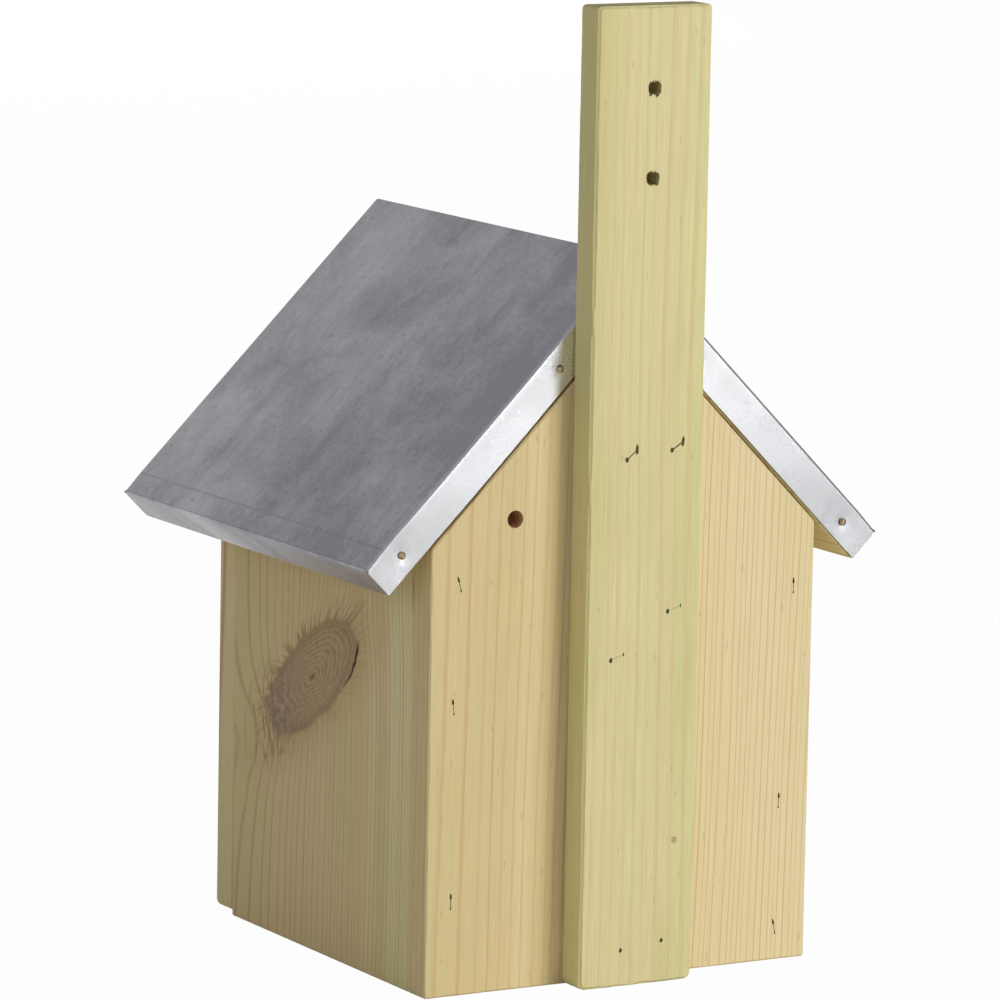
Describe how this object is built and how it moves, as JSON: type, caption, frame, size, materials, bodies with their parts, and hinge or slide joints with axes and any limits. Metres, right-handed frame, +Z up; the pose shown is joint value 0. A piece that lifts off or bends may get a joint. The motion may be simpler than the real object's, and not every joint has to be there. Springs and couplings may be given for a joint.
{
  "type": "bird nest box",
  "caption": "Wooden nest box with a folded metal saddle roof, a round entrance, a hinged cleaning door and a hanging batten.",
  "frame": {"origin": "middle of the part's footprint, on the surface that the walls' lower edges stand on", "axes": "+Z up, the front with the entrance hole faces -Y, the batten's outer face faces +Y"},
  "size_m": [0.2004, 0.191, 0.332],
  "materials": {
    "pine": "sawn and planed softwood, unpainted",
    "treated_pine": "planed lath with a pale green preservative tint",
    "galvanised_sheet": "dull mottled zinc",
    "staple_wire": "dull wire, sunk in the wood",
    "copper_pins": "copper-brown, slightly tarnished",
    "zinc_plated_steel": "zinc plated"
  },
  "bodies": {
    "box": {"back_panel": "pine", "right_side_panel": "pine", "left_side_panel": "pine", "floor_panel": "pine", "front_gable": "pine", "right_roof_board": "pine", "left_roof_board": "pine", "hanging_batten": "treated_pine", "roof_sheet": "galvanised_sheet", "back_panel_staples": "staple_wire", "batten_staples": "staple_wire", "floor_staples": "staple_wire", "gable_staples": "staple_wire", "roof_board_staples": "staple_wire", "ridge_staples": "staple_wire", "roof_sheet_nails_rear": "copper_pins", "roof_sheet_nails_front": "copper_pins", "upper_hinge_frame_leaf": "zinc_plated_steel", "upper_hinge_pin": "zinc_plated_steel", "lower_hinge_frame_leaf": "zinc_plated_steel", "lower_hinge_pin": "zinc_plated_steel", "hinge_frame_screws": "zinc_plated_steel", "turn_button_screw": "zinc_plated_steel"},
    "door": {"front_door": "pine", "upper_hinge_door_leaf": "zinc_plated_steel", "lower_hinge_door_leaf": "zinc_plated_steel", "hinge_door_screws": "zinc_plated_steel"},
    "button": {"turn_button": "pine"}
  },
  "joints": [
    {"name": "door_hinge", "type": "hinge", "parent": "box", "child": "door", "pos_m": [-0.077, -0.0565, 0.06777], "axis": [0, 0, -1], "range_deg": [0, 150]},
    {"name": "button_turn", "type": "hinge", "parent": "box", "child": "button", "pos_m": [0.045, -0.0685, 0.14604], "axis": [0, -1, 0], "range_deg": [0, 90]}
  ]
}
